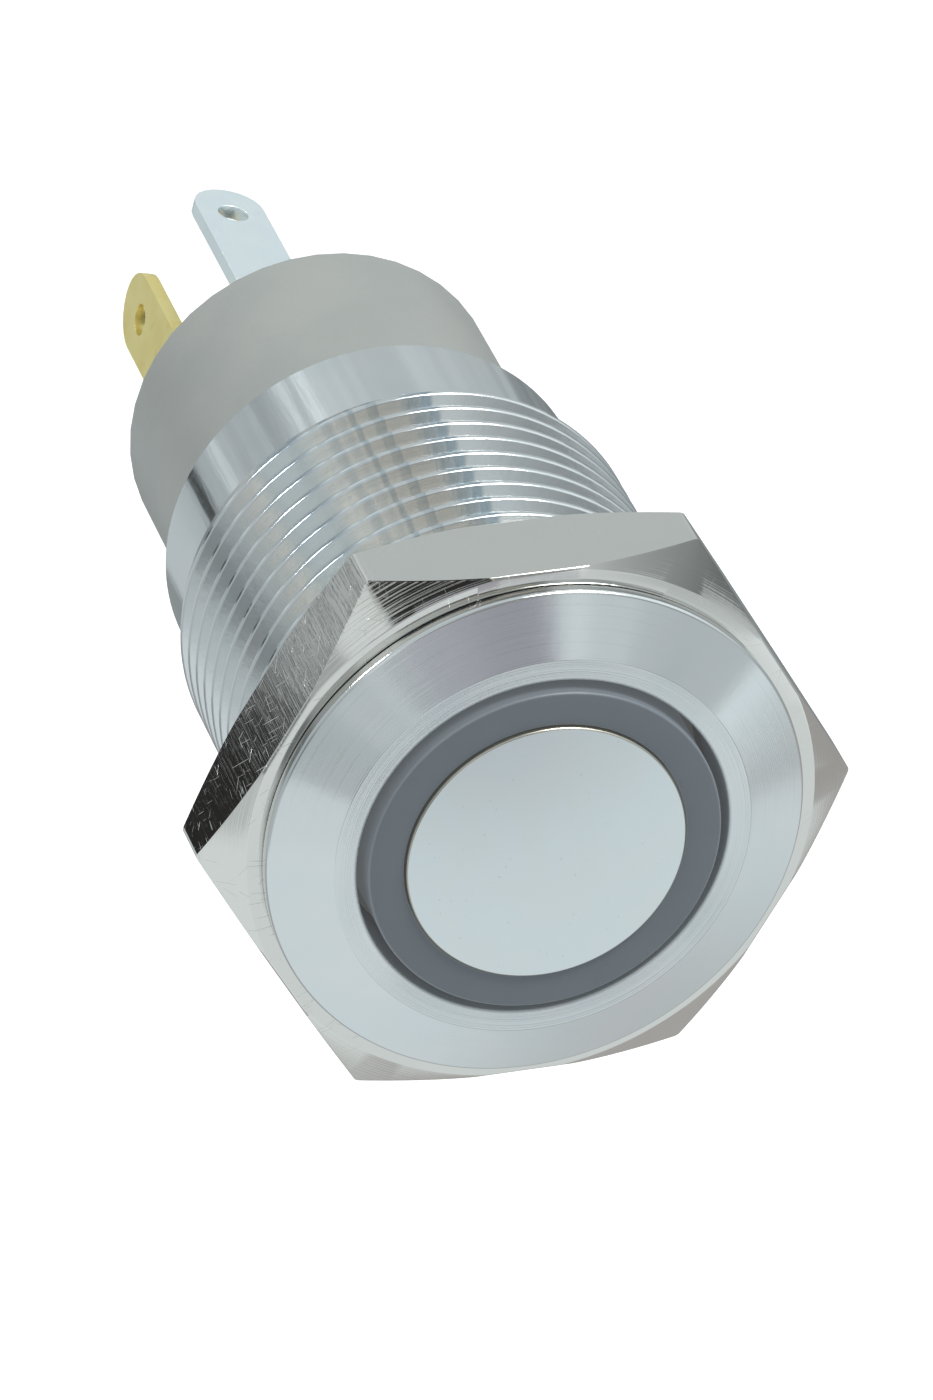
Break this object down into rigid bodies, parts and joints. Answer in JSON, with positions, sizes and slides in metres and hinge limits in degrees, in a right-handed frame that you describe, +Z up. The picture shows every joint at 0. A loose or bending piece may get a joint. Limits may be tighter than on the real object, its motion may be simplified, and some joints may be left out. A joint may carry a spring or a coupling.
{
  "type": "anti vandal push button",
  "caption": "Round panel push button: flat metal cap in a light ring, turned head, threaded barrel with hex nut, grey housing and solder tabs.",
  "frame": {"origin": "on the button's axis, in the plane where the underside of the head seats on the panel", "axes": "+Y along the axis into the panel, towards the terminals; the front faces -Y; +Z up, square to two flats of the nut"},
  "size_m": [0.022, 0.0358, 0.019],
  "materials": {
    "body_nickel": "nickel plated, finely turned",
    "nut_nickel": "nickel plated, finely scratched",
    "cap_metal": "satin",
    "seal_rubber": "matt",
    "smoky_plastic": "smoky translucent, semi-matt",
    "white_plastic": "moulded",
    "black_plastic": "moulded",
    "grey_plastic": "moulded, matt",
    "grey_resin": "potting resin",
    "contact_bronze": "stamped phosphor bronze",
    "spring_steel": "drawn wire",
    "board_laminate": "solder mask",
    "lamp_body": "lamp chip",
    "resistor_body": "chip resistor",
    "silver_plate": "silver plated, satin",
    "gold_plate": "gold plated, satin"
  },
  "bodies": {
    "switch_body": {"bezel_barrel": "body_nickel", "panel_seal": "seal_rubber", "return_spring": "spring_steel", "lamp_board": "board_laminate", "lamp_1": "lamp_body", "lamp_2": "lamp_body", "lamp_3": "lamp_body", "lamp_4": "lamp_body", "lamp_resistor": "resistor_body", "base_housing": "grey_plastic", "terminal_plate": "grey_resin", "terminal_common": "silver_plate", "terminal_normally_closed": "silver_plate", "terminal_normally_open": "silver_plate", "terminal_lamp_plus": "gold_plate", "terminal_lamp_minus": "gold_plate"},
    "button": {"button_cap": "cap_metal", "light_guide": "smoky_plastic", "button_seal": "seal_rubber", "plunger": "white_plastic", "sliding_contact": "contact_bronze", "contact_retainer": "black_plastic"},
    "nut": {"hex_nut": "nut_nickel"}
  },
  "joints": [
    {"name": "button_press", "type": "slide", "parent": "switch_body", "child": "button", "axis": [0, 1, 0], "range_m": [0, 0.0024], "stiffness_N_per_m": 500, "springref_m": -0.006, "deforming": ["return_spring"]},
    {"name": "nut_travel", "type": "slide", "parent": "switch_body", "child": "nut", "axis": [0, 1, 0], "range_m": [0, 0.0151]}
  ]
}
